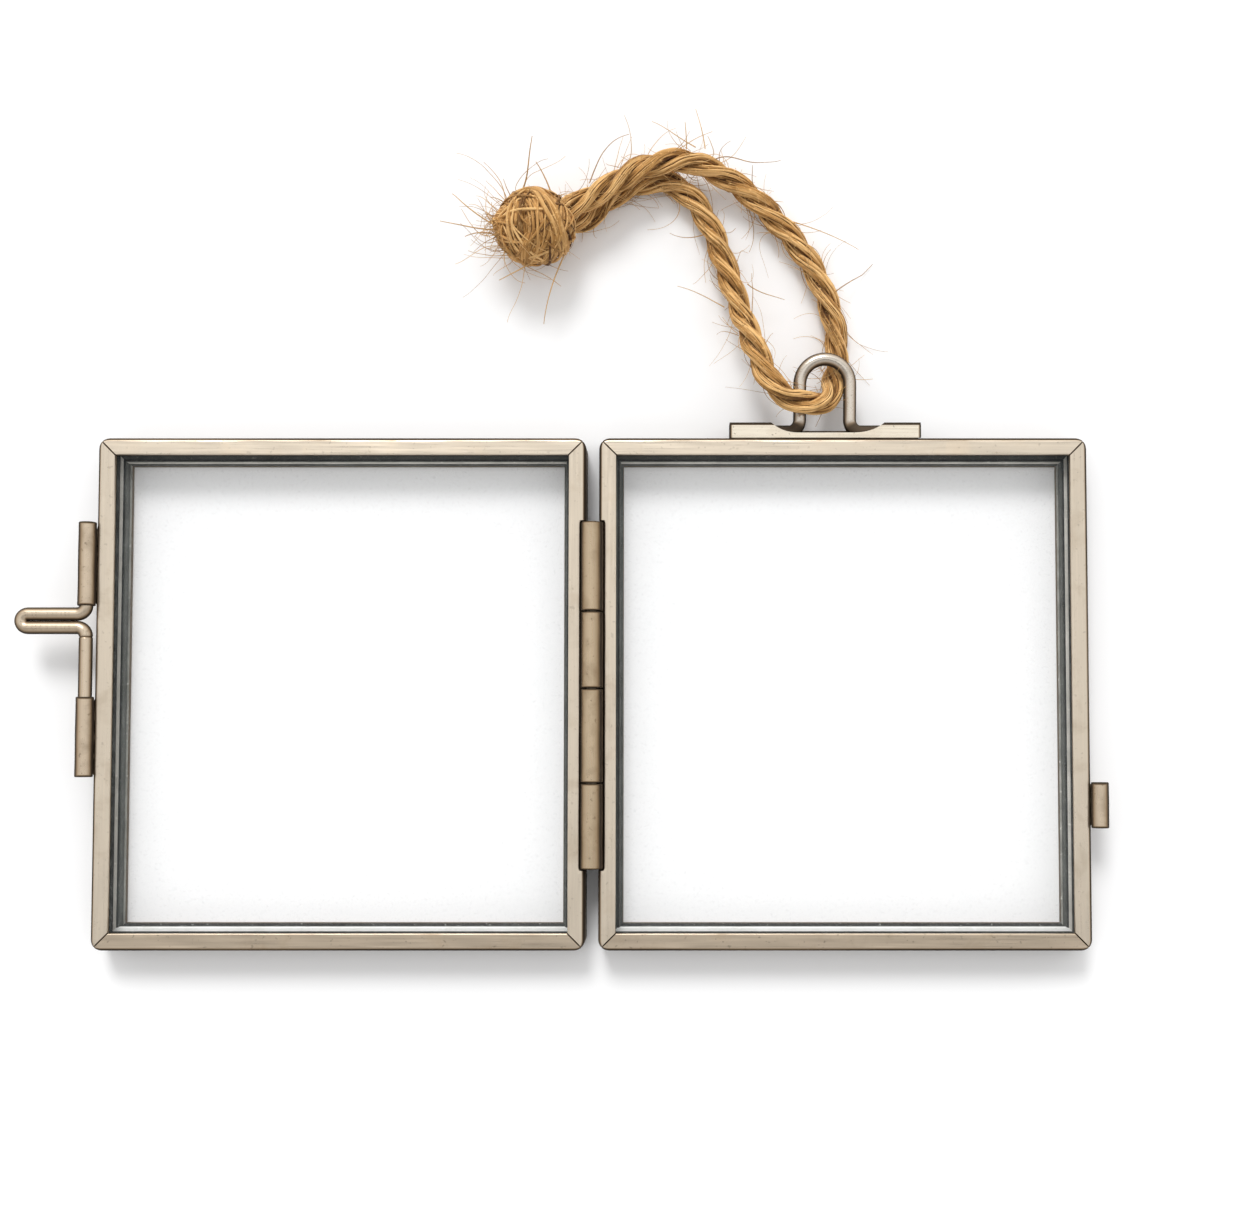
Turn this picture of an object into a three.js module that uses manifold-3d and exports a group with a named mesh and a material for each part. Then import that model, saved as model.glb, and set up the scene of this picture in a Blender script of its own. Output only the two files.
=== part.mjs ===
// Hinged double-glass photo frame ornament, lying open on its rear faces.
// Millimetres, +Z up. Built about the hinge: X = 0 on the hinge axis, Y = 0 at
// the middle of the leaves, Z = 0 on the surface that it rests on. The root
// group then moves the origin under the middle of the metalwork.
import * as THREE from 'three';
import { mergeVertices } from 'three/addons/utils/BufferGeometryUtils.js';
import Module from 'manifold-3d';

const wasm = await Module();
wasm.setup();

// ---------------------------------------------------------------- dimensions
const LEAF_W = 67; // outside width of each leaf
const LEAF_H = 70; // outside height of each leaf
const LEAF_T = 5.5; // thickness of each leaf
const LEAF_GAP = 1.8; // clear gap between the open leaves
const SHEET = 0.8; // folded sheet of the channel
const LIP_FRONT = 2.35; // face width of the front lip
const LIP_REAR = 3.25; // width of the rear flange
const EDGE_R = 0.55; // rounding of the long outer edges
const CORNER_R = 1.0; // rounding of the leaf's corners
const MITRE_GAP = 0.09; // each rail stops this far short of the mitre

const GLASS_T = 2.0;
const GLASS_INSET = 1.75; // pane edge, from the leaf's outside
const GLASS_TOP = LEAF_T - SHEET - 0.2;
const STRIP_OUT = 1.2; // outer edge of the glazing strip, from the leaf's outside
const STRIP_IN = 2.9; // and its inner edge
const STRIP_Z0 = SHEET + 0.15;
const STRIP_Z1 = GLASS_TOP - GLASS_T - 0.15;

const AXIS_Z = LEAF_T + 0.2; // hinge and bolt axes lie on the parting plane
const KNUCKLE_R = 1.5;
const KNUCKLE_BORE_R = 0.8;
const PIN_R = 0.72;
const KNUCKLE_Y = [23.3, 11.04, 0.53, -12.3, -23.9]; // ends of the four knuckles
const KNUCKLE_GAP = 0.16;
const SCALLOP_R = KNUCKLE_R + 0.3;

const TUBE_R = 1.2; // guide tubes and keeper
const TUBE_BORE_R = 1.0;
const WIRE_R = 0.9; // hanging eye
const BOLT_R = 0.92;
const BOLT_X = LEAF_GAP / 2 + LEAF_W - 0.1 + TUBE_R; // from the hinge axis
const GUIDE_UP_Y = [11.8, 23.3];
const GUIDE_LOW_Y = [-11.5, -0.6];
const KEEPER_Y = [-18.4, -12.2];
const KEEPER_BORE_R = 1.04;
const TAB_Y = 9.77; // middle of the finger tab
const TAB_PITCH = 1.9; // between its two wires
const TAB_REACH = 9.75; // from the bolt axis to the tip
const BOLT_BEND_R = 1.2;

const SLEEVE_X = [18.85, 45.15];
const SLEEVE_TOP = LEAF_H / 2 + 2.22;
const SLEEVE_Z = 3.9; // middle of the sleeve, and the eye's axis
const SLEEVE_HALF = 1.35;
const SLEEVE_WALL = 0.3;
const EYE_AXIS_Y = LEAF_H / 2 + 0.98;
const EYE_X = 32.0;
const EYE_R = 3.45; // centreline radius of the eye
const EYE_UP = 6.6; // eye centre, from its axis
const EYE_FOOT_R = 1.7;
const EYE_FOOT_X = [20.6, 43.4];
const EYE_TILT = 6; // degrees, propped up by the cord under it

const CORD_R = 1.5;
const KNOT = { at: [-8.0, 64.3, 5.35], half: [6.0, 5.2, 5.3] };
const CORD_ROUTE = [
  [-1.2, 68, 5.4], [1.6, 69.7, 5.25], [6.2, 72.6, 5], [12.7, 74.1, 4],
  [19, 71.8, 2.8], [24.9, 66.9, 2.1], [30.4, 60, 1.75], [33.4, 52.59, 1.7],
  [34, 47.4, 1.65], [33.61, 44.58, 1.88], [33.03, 41.77, 3.47], [31.5, 39.99, 5.32],
  [29.14, 39.49, 6.7], [26.53, 40.32, 7.32], [24.24, 42.6, 7.3], [22.7, 46.29, 6.45],
  [20.5, 52.7, 4], [18.4, 59.7, 2.4], [16.3, 65.5, 1.7], [13.6, 69.7, 1.65],
  [9.8, 72, 1.65], [5.9, 71.6, 1.65], [1.6, 69.2, 1.8], [-1.1, 66.6, 2.1],
];

// ------------------------------------------------------------------ materials
const METAL = { color: 0xb9a88f, roughness: 0.36, metalness: 1 };
const WIRE = { color: 0xa8977d, roughness: 0.3, metalness: 1 };
const GLASS = { color: 0xe3eceb, roughness: 0.03, metalness: 0, transparent: true, opacity: 0.3 };
const STRIP = { color: 0x33362f, roughness: 0.75, metalness: 0 };
const JUTE = { color: 0xb98d52, roughness: 0.9, metalness: 0 };

function node(group, name, geometry, look) {
  const mesh = new THREE.Mesh(geometry, new THREE.MeshStandardMaterial(look));
  mesh.name = name;
  group.add(mesh);
  return mesh;
}

// ------------------------------------------------------------------- booleans
function solid(geometry) {
  const g = new THREE.BufferGeometry();
  g.setAttribute('position', geometry.getAttribute('position').clone());
  if (geometry.index) g.setIndex(geometry.index.clone());
  const m = mergeVertices(g, 1e-4);
  return new wasm.Manifold(new wasm.Mesh({
    numProp: 3,
    vertProperties: new Float32Array(m.getAttribute('position').array),
    triVerts: new Uint32Array(m.index.array),
  }));
}

function geometryOf(manifold) {
  const mesh = manifold.getMesh();
  const g = new THREE.BufferGeometry();
  g.setAttribute('position', new THREE.BufferAttribute(new Float32Array(mesh.vertProperties), 3));
  g.setIndex(new THREE.BufferAttribute(new Uint32Array(mesh.triVerts), 1));
  const flat = g.toNonIndexed();
  flat.computeVertexNormals();
  return flat;
}

// --------------------------------------------------------------------- shapes
const shapeOf = (points) => new THREE.Shape(points.map(([a, b]) => new THREE.Vector2(a, b)));

function arc(cx, cy, r, from, to, n) {
  const out = [];
  for (let i = 0; i <= n; i += 1) {
    const a = THREE.MathUtils.degToRad(from + ((to - from) * i) / n);
    out.push([cx + r * Math.cos(a), cy + r * Math.sin(a)]);
  }
  return out;
}

// Channel section: first number inwards from the leaf's outside, second up.
const CHANNEL = [
  ...arc(EDGE_R, EDGE_R, EDGE_R, 180, 270, 4),
  [LIP_REAR - 0.12, 0], [LIP_REAR, 0.12], [LIP_REAR, SHEET], [SHEET, SHEET],
  [SHEET, LEAF_T - SHEET], [LIP_FRONT, LEAF_T - SHEET],
  ...arc(LIP_FRONT - 0.2, LEAF_T - 0.2, 0.2, 0, 90, 3),
  ...arc(EDGE_R, LEAF_T - EDGE_R, EDGE_R, 90, 180, 4).slice(0, -1),
  [0, LEAF_T - EDGE_R],
];

// One mitred rail along X, its outside on Y = 0 and its inside towards +Y.
function rail(length) {
  const half = length / 2;
  const bar = new THREE.ExtrudeGeometry(shapeOf(CHANNEL), { depth: length + 2, bevelEnabled: false });
  // section (in, up) lies in XY and runs along Z: turn it to (Y, Z) along X
  bar.applyMatrix4(new THREE.Matrix4().makeBasis(
    new THREE.Vector3(0, 1, 0), new THREE.Vector3(0, 0, 1), new THREE.Vector3(1, 0, 0)));
  bar.translate(-half - 1, 0, 0);
  const end = [];
  for (const [x, y] of arc(half - CORNER_R, CORNER_R, CORNER_R, -90, -45, 4)) {
    if (x <= half - y - MITRE_GAP) end.push([x, y]);
  }
  const cut = 0.293 * CORNER_R + MITRE_GAP * 0.4;
  end.push([half - cut - MITRE_GAP, cut]);
  end.push([half - 4 - MITRE_GAP, 4]);
  const plan = [...end, ...end.map(([x, y]) => [-x, y]).reverse()];
  const cutter = new THREE.ExtrudeGeometry(shapeOf(plan), { depth: LEAF_T + 2, bevelEnabled: false });
  cutter.translate(0, 0, -1);
  return solid(bar).intersect(solid(cutter));
}

function placed(manifold, turnDeg, x, y) {
  const g = geometryOf(manifold);
  g.rotateZ(THREE.MathUtils.degToRad(turnDeg));
  g.translate(x, y, 0);
  return g;
}

// Closed tube about a line along Y.
function tube(outer, inner, y0, y1, x, z, sides) {
  const c = 0.12; // edge break on the outside
  const profile = [
    [inner, y0], [outer - c, y0], [outer, y0 + c], [outer, y1 - c], [outer - c, y1], [inner, y1], [inner, y0],
  ].map(([r, y]) => new THREE.Vector2(r, y));
  const g = new THREE.LatheGeometry(profile, sides);
  g.translate(x, 0, z);
  return g;
}

// A path through given stations, each of which gets one ring of the sweep.
class Stations extends THREE.Curve {
  constructor(points) {
    super();
    this.points = points;
  }

  getPoint(t, target = new THREE.Vector3()) {
    const n = this.points.length - 1;
    const f = Math.min(Math.max(t, 0), 1) * n;
    const i = Math.min(Math.floor(f), n - 1);
    return target.lerpVectors(this.points[i], this.points[i + 1], f - i);
  }

  getSpacedPoints() {
    return this.points.map((p) => p.clone());
  }

  getTangentAt(u, target = new THREE.Vector3()) {
    const n = this.points.length - 1;
    const i = Math.round(u * n);
    const step = (a, b) => new THREE.Vector3().subVectors(this.points[b], this.points[a]).normalize();
    const back = i > 0 ? step(i - 1, i) : step(0, 1);
    const on = i < n ? step(i, i + 1) : step(n - 1, n);
    return target.addVectors(back, on).normalize();
  }
}

function wire(points, radius, sides) {
  const ring = shapeOf(arc(0, 0, radius, 0, 360, sides).slice(0, -1));
  return new THREE.ExtrudeGeometry(ring, {
    steps: points.length - 1, bevelEnabled: false, extrudePath: new Stations(points),
  });
}

const HALF_GAP = LEAF_GAP / 2;
const MID_X = HALF_GAP + LEAF_W / 2;

const root = new THREE.Group();
const backLeaf = new THREE.Group();
const doorLeaf = new THREE.Group();
const latch = new THREE.Group();
const hanger = new THREE.Group();
root.add(backLeaf, doorLeaf, latch, hanger);

// --------------------------------------------------------------------- leaves
const stile = rail(LEAF_H);
const crossRail = rail(LEAF_W);
const barrelCut = solid(new THREE.CylinderGeometry(
  SCALLOP_R, SCALLOP_R, KNUCKLE_Y[0] - KNUCKLE_Y[4] + 0.6, 40)
  .translate(0, (KNUCKLE_Y[0] + KNUCKLE_Y[4]) / 2, AXIS_Z));

function leaf(group, name, side) {
  const cx = side * MID_X;
  const left = placed(stile, -90, cx - LEAF_W / 2, 0);
  const right = placed(stile, 90, cx + LEAF_W / 2, 0);
  const cutRail = (g) => geometryOf(solid(g).subtract(barrelCut));
  node(group, `${name}_rail_left`, side > 0 ? cutRail(left) : left, METAL);
  node(group, `${name}_rail_right`, side < 0 ? cutRail(right) : right, METAL);
  node(group, `${name}_rail_top`, placed(crossRail, 180, cx, LEAF_H / 2), METAL);
  node(group, `${name}_rail_bottom`, placed(crossRail, 0, cx, -LEAF_H / 2), METAL);

  const pane = new THREE.BoxGeometry(LEAF_W - 2 * GLASS_INSET, LEAF_H - 2 * GLASS_INSET, GLASS_T);
  pane.translate(cx, 0, GLASS_TOP - GLASS_T / 2);
  node(group, `${name}_glass`, pane, GLASS);

  const rect = (inset) => {
    const a = LEAF_W / 2 - inset;
    const b = LEAF_H / 2 - inset;
    return [[-a, -b], [a, -b], [a, b], [-a, b]];
  };
  const outline = shapeOf(rect(STRIP_OUT));
  outline.holes.push(new THREE.Path(rect(STRIP_IN).map(([x, y]) => new THREE.Vector2(x, y))));
  const strip = new THREE.ExtrudeGeometry(outline, { depth: STRIP_Z1 - STRIP_Z0, bevelEnabled: false });
  strip.translate(cx, 0, STRIP_Z0);
  node(group, `${name}_glazing_strip`, strip, STRIP);
}

leaf(backLeaf, 'back', 1);
leaf(doorLeaf, 'door', -1);

// ---------------------------------------------------------------------- hinge
for (let i = 0; i < 4; i += 1) {
  const y1 = KNUCKLE_Y[i] - (i > 0 ? KNUCKLE_GAP / 2 : 0);
  const y0 = KNUCKLE_Y[i + 1] + (i < 3 ? KNUCKLE_GAP / 2 : 0);
  node(i % 2 === 0 ? backLeaf : doorLeaf, `hinge_knuckle_${i + 1}`,
    tube(KNUCKLE_R, KNUCKLE_BORE_R, y0, y1, 0, AXIS_Z, 32), METAL);
}
const pinLength = KNUCKLE_Y[0] - KNUCKLE_Y[4] - 0.3;
node(backLeaf, 'hinge_pin', new THREE.CylinderGeometry(PIN_R, PIN_R, pinLength, 20)
  .translate(0, (KNUCKLE_Y[0] + KNUCKLE_Y[4]) / 2, AXIS_Z), WIRE);

// ---------------------------------------------------------------------- latch
node(doorLeaf, 'latch_guide_upper',
  tube(TUBE_R, TUBE_BORE_R, GUIDE_UP_Y[0], GUIDE_UP_Y[1], -BOLT_X, AXIS_Z, 28), METAL);
node(doorLeaf, 'latch_guide_lower',
  tube(TUBE_R, TUBE_BORE_R, GUIDE_LOW_Y[0], GUIDE_LOW_Y[1], -BOLT_X, AXIS_Z, 28), METAL);
node(backLeaf, 'latch_keeper',
  tube(TUBE_R, KEEPER_BORE_R, KEEPER_Y[0], KEEPER_Y[1], BOLT_X, AXIS_Z, 28), METAL);

const tabR = TAB_PITCH / 2;
const tabEnd = -BOLT_X - TAB_REACH + BOLT_R + tabR; // centre of the tip's bend
const upY = TAB_Y + tabR;
const lowY = TAB_Y - tabR;
const bolt2d = [
  [-BOLT_X, GUIDE_UP_Y[1] - 0.25],
  ...arc(-BOLT_X - BOLT_BEND_R, upY + BOLT_BEND_R, BOLT_BEND_R, 0, -90, 7),
  ...arc(tabEnd, TAB_Y, tabR, 90, 270, 10),
  ...arc(-BOLT_X - BOLT_BEND_R, lowY - BOLT_BEND_R, BOLT_BEND_R, 90, 0, 7),
  [-BOLT_X, GUIDE_LOW_Y[0] + 0.15],
];
node(latch, 'latch_bolt',
  wire(bolt2d.map(([x, y]) => new THREE.Vector3(x, y, AXIS_Z)), BOLT_R, 14), WIRE);

// --------------------------------------------------------------------- hanger
const lo = -SLEEVE_HALF;
const hi = SLEEVE_HALF;
const baseY = LEAF_H / 2 + 0.04;
const foldR = 0.5;
const sleeveSection = [ // (along Z about the sleeve's middle, Y): open towards the rail
  [lo, baseY], [lo + SLEEVE_WALL, baseY], [lo + SLEEVE_WALL, SLEEVE_TOP - SLEEVE_WALL - 0.2],
  [lo + SLEEVE_WALL + 0.2, SLEEVE_TOP - SLEEVE_WALL], [hi - SLEEVE_WALL - 0.2, SLEEVE_TOP - SLEEVE_WALL],
  [hi - SLEEVE_WALL, SLEEVE_TOP - SLEEVE_WALL - 0.2], [hi - SLEEVE_WALL, baseY], [hi, baseY],
  ...arc(hi - foldR, SLEEVE_TOP - foldR, foldR, 0, 90, 4),
  ...arc(lo + foldR, SLEEVE_TOP - foldR, foldR, 90, 180, 4),
];
const sleeveBar = new THREE.ExtrudeGeometry(shapeOf(sleeveSection),
  { depth: SLEEVE_X[1] - SLEEVE_X[0], bevelEnabled: false });
sleeveBar.applyMatrix4(new THREE.Matrix4().makeBasis(
  new THREE.Vector3(0, 0, 1), new THREE.Vector3(0, 1, 0), new THREE.Vector3(-1, 0, 0)));
sleeveBar.translate(SLEEVE_X[1], 0, SLEEVE_Z);
const scoop = new THREE.Shape(); // wide, through the front and the top
scoop.moveTo(24.2, SLEEVE_TOP + 0.4);
scoop.quadraticCurveTo(25.0, LEAF_H / 2 + 0.6, 26.6, LEAF_H / 2 + 0.6);
scoop.lineTo(37.8, LEAF_H / 2 + 0.6);
scoop.quadraticCurveTo(39.6, LEAF_H / 2 + 0.6, 40.6, SLEEVE_TOP + 0.4);
scoop.closePath();
const scoopCut = new THREE.ExtrudeGeometry(scoop,
  { depth: 2 * SLEEVE_HALF, bevelEnabled: false, curveSegments: 10 });
scoopCut.translate(0, 0, SLEEVE_Z - SLEEVE_HALF + SLEEVE_WALL);
const notch = new THREE.BoxGeometry(7.2, 4, 2); // narrow, through the rear between the eye's legs
notch.translate(EYE_X, LEAF_H / 2 + 3.4, SLEEVE_Z - SLEEVE_HALF);
node(backLeaf, 'hanger_sleeve',
  geometryOf(solid(sleeveBar).subtract(solid(scoopCut)).subtract(solid(notch))), METAL);

const eye2d = [ // (X, up from the eye's axis)
  [EYE_FOOT_X[0], 0],
  ...arc(EYE_X - EYE_R - EYE_FOOT_R, EYE_FOOT_R, EYE_FOOT_R, -90, 0, 7),
  ...arc(EYE_X, EYE_UP, EYE_R, 180, 0, 20),
  ...arc(EYE_X + EYE_R + EYE_FOOT_R, EYE_FOOT_R, EYE_FOOT_R, 180, 270, 7),
  [EYE_FOOT_X[1], 0],
];
const tilt = THREE.MathUtils.degToRad(EYE_TILT);
node(hanger, 'hanger_eye', wire(eye2d.map(([x, up]) => new THREE.Vector3(
  x, EYE_AXIS_Y + up * Math.cos(tilt), SLEEVE_Z + up * Math.sin(tilt))), WIRE_R, 14), WIRE);

// ----------------------------------------------------------------------- cord
const route = new THREE.CatmullRomCurve3(
  CORD_ROUTE.map(([x, y, z]) => new THREE.Vector3(x, y, z)), false, 'centripetal');
route.arcLengthDivisions = 1200;
node(hanger, 'cord', wire(route.getSpacedPoints(78), CORD_R, 8), JUTE);
const knot = new THREE.SphereGeometry(1, 24, 16);
knot.scale(...KNOT.half);
knot.translate(...KNOT.at);
node(hanger, 'cord_knot', knot, JUTE);

// The origin goes under the middle of the metalwork; the cord isn't counted.
root.updateMatrixWorld(true);
const box = new THREE.Box3();
root.traverse((o) => {
  if (o.isMesh && !o.name.startsWith('cord')) box.union(new THREE.Box3().setFromObject(o, true));
});
root.children.forEach((group) => group.position.set(
  -(box.min.x + box.max.x) / 2, -(box.min.y + box.max.y) / 2, -box.min.z));

export default root;
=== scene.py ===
import math
import random

import bmesh
import bpy
import numpy as np
from mathutils import Matrix, Vector


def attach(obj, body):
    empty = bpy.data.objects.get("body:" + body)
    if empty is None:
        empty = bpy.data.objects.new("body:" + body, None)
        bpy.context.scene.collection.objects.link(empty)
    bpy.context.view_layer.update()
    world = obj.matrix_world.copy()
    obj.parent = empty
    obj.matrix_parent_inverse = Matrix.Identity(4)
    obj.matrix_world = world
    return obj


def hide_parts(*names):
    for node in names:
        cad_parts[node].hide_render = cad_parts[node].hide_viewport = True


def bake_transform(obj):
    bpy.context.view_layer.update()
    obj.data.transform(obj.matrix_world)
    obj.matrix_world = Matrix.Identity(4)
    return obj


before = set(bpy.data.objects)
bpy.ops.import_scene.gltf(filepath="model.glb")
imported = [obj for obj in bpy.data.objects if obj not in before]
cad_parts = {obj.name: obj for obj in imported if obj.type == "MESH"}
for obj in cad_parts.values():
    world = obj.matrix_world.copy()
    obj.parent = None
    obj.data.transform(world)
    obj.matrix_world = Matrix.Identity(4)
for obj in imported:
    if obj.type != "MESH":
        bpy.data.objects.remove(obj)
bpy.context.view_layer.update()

TAU = 2 * math.pi

# Lengths below are millimetres about the hinge: X = 0 on the hinge axis, Y = 0
# at the middle of the leaves. This shift takes them to the row frame.
OX, OY = 4.26347, -5.926189

LEAF_W, LEAF_H, LEAF_T, HALF_GAP = 67.0, 70.0, 5.5, 0.9
SHEET, LIP_FRONT, LIP_REAR = 0.8, 2.35, 3.25
EDGE_R, CORNER_R, MITRE_GAP = 0.55, 1.5, 0.1
AXIS_Z = 5.7
KNUCKLE_Y = [23.3, 11.04, 0.53, -12.3, -23.9]
BOLT_X = 69.0
CORD_R = 1.5
KNOT = np.array([-8.0, 64.3, 5.35])
CORD_ROUTE = [
    [-1.2, 68, 5.4], [1.6, 69.7, 5.25], [6.2, 72.6, 5], [12.7, 74.1, 4],
    [19, 71.8, 2.8], [24.9, 66.9, 2.1], [30.4, 60, 1.75], [33.4, 52.59, 1.7],
    [34, 47.4, 1.65], [33.61, 44.58, 1.88], [33.03, 41.77, 3.47], [31.5, 39.99, 5.32],
    [29.14, 39.49, 6.7], [26.53, 40.32, 7.32], [24.24, 42.6, 7.3], [22.7, 46.29, 6.45],
    [20.5, 52.7, 4], [18.4, 59.7, 2.4], [16.3, 65.5, 1.7], [13.6, 69.7, 1.65],
    [9.8, 72, 1.65], [5.9, 71.6, 1.65], [1.6, 69.2, 1.8], [-1.1, 66.6, 2.1],
]


# ------------------------------------------------------------------ mesh tools
def row(points):
    a = np.array(points, float).reshape(-1, 3)
    a[:, 0] += OX
    a[:, 1] += OY
    return a * 0.001


def add_piece(me, body, mats, node=None):
    ob = bpy.data.objects.new(me.name, me)
    bpy.context.scene.collection.objects.link(ob)
    for m in mats:
        me.materials.append(m)
    if body == "soft":
        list(row([(18.0, 66.0, 3.0), (28.0, 47.0, 3.0)]).tolist())
        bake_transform(ob)
    else:
        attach(ob, body)
    if node:
        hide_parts(node)
    return ob


def smooth(me, angle=35):
    me.polygons.foreach_set("use_smooth", np.ones(len(me.polygons), bool))
    me.set_sharp_from_angle(angle=math.radians(angle))


def poly_mesh(name, verts, faces, fmat=None, angle=35):
    me = bpy.data.meshes.new(name)
    me.from_pydata(row(verts).tolist(), [], faces)
    me.update()
    bm = bmesh.new()
    bm.from_mesh(me)
    bmesh.ops.recalc_face_normals(bm, faces=bm.faces)
    bm.to_mesh(me)
    bm.free()
    if fmat is not None:
        me.polygons.foreach_set("material_index", np.array(fmat, np.int32))
    smooth(me, angle)
    return me


class Bundle:
    """Many thin quad tubes in one mesh, with a tone for each vertex."""

    def __init__(self):
        self.v, self.q, self.t, self.n = [], [], [], 0

    def tube(self, path, radius, sides, tone, flat=1.0, normal=None):
        path = np.asarray(path, float)
        count = len(path)
        radius = np.broadcast_to(np.asarray(radius, float), (count,))
        tan, nor, bi = frames(path, normal)
        a = np.arange(sides) * TAU / sides
        ring = path[:, None, :] + radius[:, None, None] * (
            np.cos(a)[None, :, None] * nor[:, None, :]
            + flat * np.sin(a)[None, :, None] * bi[:, None, :])
        i = np.arange(count - 1)[:, None] * sides
        j = np.arange(sides)[None, :]
        k = (j + 1) % sides
        quads = np.stack([i + j, i + k, i + sides + k, i + sides + j], -1).reshape(-1, 4)
        self.v.append(ring.reshape(-1, 3))
        self.q.append(quads + self.n)
        self.t.append(np.repeat(np.broadcast_to(np.asarray(tone, float), (count,)), sides))
        self.n += count * sides

    def mesh(self, name):
        v = row(np.concatenate(self.v))
        v[:, 2] = np.maximum(v[:, 2], 0.00003)
        q = np.concatenate(self.q).astype(np.int32)
        me = bpy.data.meshes.new(name)
        me.vertices.add(len(v))
        me.vertices.foreach_set("co", v.ravel())
        me.loops.add(q.size)
        me.loops.foreach_set("vertex_index", q.ravel())
        me.polygons.add(len(q))
        me.polygons.foreach_set("loop_start", np.arange(0, q.size, 4, dtype=np.int32))
        me.update(calc_edges=True)
        me.validate()
        me.polygons.foreach_set("use_smooth", np.ones(len(me.polygons), bool))
        tone = me.attributes.new("tone", "FLOAT", "POINT")
        tone.data.foreach_set("value", np.concatenate(self.t).astype(np.float32))
        return me


def unit(a):
    return a / np.maximum(np.linalg.norm(a, axis=-1, keepdims=True), 1e-12)


def frames(path, normal=None):
    tan = unit(np.gradient(path, axis=0))
    if normal is None:
        normal = np.array([0.0, 0.0, 1.0])
        if abs(tan[0] @ normal) > 0.9:
            normal = np.array([1.0, 0.0, 0.0])
    nor = np.zeros_like(path)
    last = normal
    for i in range(len(path)):
        last = last - (last @ tan[i]) * tan[i]
        last = last / np.linalg.norm(last)
        nor[i] = last
    return tan, nor, np.cross(tan, nor)


def catmull(points, step):
    """Centripetal Catmull-Rom through the points, resampled at even steps."""
    p = np.asarray(points, float)
    p = np.vstack([2 * p[0] - p[1], p, 2 * p[-1] - p[-2]])
    out = []
    for i in range(1, len(p) - 2):
        q = p[i - 1:i + 3]
        t = np.concatenate([[0], np.cumsum(np.linalg.norm(np.diff(q, axis=0), axis=1) ** 0.5)])
        for s in np.linspace(t[1], t[2], 40, endpoint=False):
            a1 = (t[1] - s) / (t[1] - t[0]) * q[0] + (s - t[0]) / (t[1] - t[0]) * q[1]
            a2 = (t[2] - s) / (t[2] - t[1]) * q[1] + (s - t[1]) / (t[2] - t[1]) * q[2]
            a3 = (t[3] - s) / (t[3] - t[2]) * q[2] + (s - t[2]) / (t[3] - t[2]) * q[3]
            b1 = (t[2] - s) / (t[2] - t[0]) * a1 + (s - t[0]) / (t[2] - t[0]) * a2
            b2 = (t[3] - s) / (t[3] - t[1]) * a2 + (s - t[1]) / (t[3] - t[1]) * a3
            out.append((t[2] - s) / (t[2] - t[1]) * b1 + (s - t[1]) / (t[2] - t[1]) * b2)
    out.append(p[-2])
    return resample(np.array(out), step)


def resample(path, step):
    d = np.concatenate([[0], np.cumsum(np.linalg.norm(np.diff(path, axis=0), axis=1))])
    s = np.linspace(0, d[-1], max(int(round(d[-1] / step)), 2) + 1)
    return np.stack([np.interp(s, d, path[:, k]) for k in range(3)], 1)


def arclen(path):
    return np.concatenate([[0], np.cumsum(np.linalg.norm(np.diff(path, axis=0), axis=1))])


def wobble(s, rng, wave):
    """Smooth noise about zero, within about one, along a length."""
    out = np.zeros_like(s)
    for k in (1.0, 0.53, 0.29):
        out += k * np.sin(TAU * s / (wave * k * rng.uniform(0.8, 1.25)) + rng.uniform(0, TAU))
    return out / 1.82


# ------------------------------------------------------------------- materials
def new_mat(name):
    m = bpy.data.materials.new(name)
    m.use_nodes = True
    nt = m.node_tree
    return m, nt, nt.nodes["Principled BSDF"]


def add(nt, kind, **values):
    n = nt.nodes.new(kind)
    for k, v in values.items():
        if k.startswith("in_"):
            n.inputs[k[3:].replace("_", " ")].default_value = v
        else:
            setattr(n, k, v)
    return n


def ramp(nt, stops, source):
    r = nt.nodes.new("ShaderNodeValToRGB")
    el = r.color_ramp.elements
    el.remove(el[1])
    for i, (pos, col) in enumerate(stops):
        e = el[0] if i == 0 else el.new(pos)
        e.position = pos
        e.color = (col, col, col, 1) if isinstance(col, (int, float)) else (*col, 1)
    nt.links.new(source, r.inputs["Fac"])
    return r.outputs["Color"]


def noise(nt, scale, detail=3.0, rough=0.55, stretch=None, offset=0.0, distort=0.0):
    tc = add(nt, "ShaderNodeTexCoord")
    mp = add(nt, "ShaderNodeMapping")
    mp.inputs["Scale"].default_value = stretch or (1, 1, 1)
    mp.inputs["Location"].default_value = (offset, offset * 0.7, offset * 0.3)
    nt.links.new(tc.outputs["Object"], mp.inputs["Vector"])
    n = add(nt, "ShaderNodeTexNoise", in_Scale=scale, in_Detail=detail, in_Roughness=rough,
            in_Distortion=distort)
    nt.links.new(mp.outputs["Vector"], n.inputs["Vector"])
    return n.outputs["Fac"]


def mix(nt, a, b, fac, blend="MIX"):
    m = add(nt, "ShaderNodeMix", data_type="RGBA", blend_type=blend)
    for sock, v in ((m.inputs[0], fac), (m.inputs[6], a), (m.inputs[7], b)):
        if hasattr(v, "is_linked"):
            nt.links.new(v, sock)
        elif isinstance(v, (int, float)):
            sock.default_value = v
        else:
            sock.default_value = (*v, 1)
    return m.outputs[2]


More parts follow.
